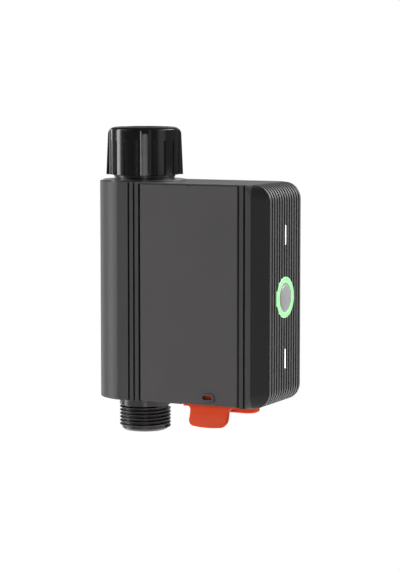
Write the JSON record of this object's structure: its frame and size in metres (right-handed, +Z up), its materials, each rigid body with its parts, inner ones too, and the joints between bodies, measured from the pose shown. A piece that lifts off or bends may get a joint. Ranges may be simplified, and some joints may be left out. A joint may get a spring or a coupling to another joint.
{
  "type": "smart water valve",
  "caption": "Upright tap-mounted water shut-off valve with a swivel inlet nut, threaded outlet, motor-driven ball, lit push button and a latched battery tray.",
  "frame": {"origin": "centre of the inlet washer's upper face, on the pipe's axis, where the tap's end seats", "axes": "+Z up along the pipe to the tap, +X from the pipe to the button end, -Y out of the front panel"},
  "size_m": [0.1029, 0.0466, 0.1563],
  "materials": {
    "casing_plastic": "fine moulded texture, satin",
    "panel_plastic": "fine spark texture",
    "nut_plastic": "semi-gloss",
    "pipe_plastic": "semi-gloss",
    "orange_plastic": "satin",
    "seal_rubber": "matte",
    "clear_green": "translucent, lit",
    "button_plastic": "satin",
    "clear_white": "translucent, lit",
    "valve_plastic": "moulded, glass filled",
    "white_plastic": "moulded acetal",
    "steel": "satin",
    "polished_steel": "polished",
    "brass": "machined",
    "board": "solder mask",
    "cell_skin": "printed sleeve, left plain",
    "lever_inner": "moulded"
  },
  "bodies": {
    "valve": {"housing": "casing_plastic", "rear_cover": "casing_plastic", "rear_gasket": "seal_rubber", "cover_screws": "steel", "front_panel": "panel_plastic", "inlet_neck": "pipe_plastic", "inlet_tail": "valve_plastic", "inlet_washer": "seal_rubber", "filter_screen": "steel", "neck_seals": "seal_rubber", "valve_body": "valve_plastic", "outlet_neck": "pipe_plastic", "ball_seats": "white_plastic", "stem_gland": "brass", "turbine_bearings": "white_plastic", "sensor_board": "board", "gear_axles": "steel", "gearbox_case": "valve_plastic", "gearbox_lid": "valve_plastic", "gearbox_screws": "steel", "motor": "steel", "battery_bay": "lever_inner", "bay_contacts": "brass", "light_ring": "clear_green", "light_bars": "clear_white", "main_board": "board", "board_screws": "steel", "push_switch": "lever_inner", "leds": "clear_white", "radio_module": "steel", "board_connectors": "white_plastic"},
    "nut": {"swivel_nut": "nut_plastic"},
    "ball_and_stem": {"ball": "polished_steel", "valve_stem": "brass", "stem_seals": "seal_rubber", "output_gear": "white_plastic"},
    "idler": {"idler_gear": "white_plastic"},
    "second": {"second_gear": "white_plastic"},
    "pinion": {"motor_pinion": "brass", "motor_shaft": "steel"},
    "turbine": {"flow_turbine": "white_plastic"},
    "button": {"button_cap": "button_plastic", "switch_plunger": "lever_inner"},
    "tray": {"battery_tray": "lever_inner", "tray_base": "orange_plastic", "tray_seal": "seal_rubber", "tray_contacts": "brass", "aa_cells": "cell_skin", "latch_pin": "steel"},
    "lever": {"release_lever": "orange_plastic"}
  },
  "joints": [
    {"name": "nut_spin", "type": "hinge", "parent": "valve", "child": "nut", "pos_m": [0, 0, 0], "axis": [0, 0, 1], "continuous": true},
    {"name": "ball_turn", "type": "hinge", "parent": "valve", "child": "ball_and_stem", "pos_m": [0, 0, -0.047], "axis": [1, 0, 0], "range_deg": [0, 90]},
    {"name": "idler_turn", "type": "hinge", "parent": "valve", "child": "idler", "pos_m": [0.0272, 0, -0.0286], "axis": [1, 0, 0], "range_deg": [-324.5, 0.5]},
    {"name": "second_turn", "type": "hinge", "parent": "valve", "child": "second", "pos_m": [0.0298, 0.00893, -0.03185], "axis": [1, 0, 0], "range_deg": [-0.5, 908]},
    {"name": "pinion_turn", "type": "hinge", "parent": "valve", "child": "pinion", "pos_m": [0.0305, 0.00548, -0.03862], "axis": [1, 0, 0], "range_deg": [-2541, 1]},
    {"name": "turbine_spin", "type": "hinge", "parent": "valve", "child": "turbine", "pos_m": [0, 0, -0.089], "axis": [0, 0, 1], "continuous": true},
    {"name": "button_press", "type": "slide", "parent": "valve", "child": "button", "axis": [-1, 0, 0], "range_m": [0, 0.0006], "stiffness_N_per_m": 400, "springref_m": -0.0015},
    {"name": "tray_slide", "type": "slide", "parent": "valve", "child": "tray", "axis": [0, 0, -1], "range_m": [0, 0.062]},
    {"name": "lever_tilt", "type": "hinge", "parent": "tray", "child": "lever", "pos_m": [0.0469, -0.0175, -0.127], "axis": [-1, 0, 0], "range_deg": [0, 6], "stiffness_Nm_per_rad": 0.06, "springref_deg": -2.86}
  ],
  "couplings": [
    {"joint": "idler_turn", "follows": "ball_turn", "ratio": -3.6},
    {"joint": "second_turn", "follows": "ball_turn", "ratio": 10.08},
    {"joint": "pinion_turn", "follows": "ball_turn", "ratio": -28.224}
  ]
}
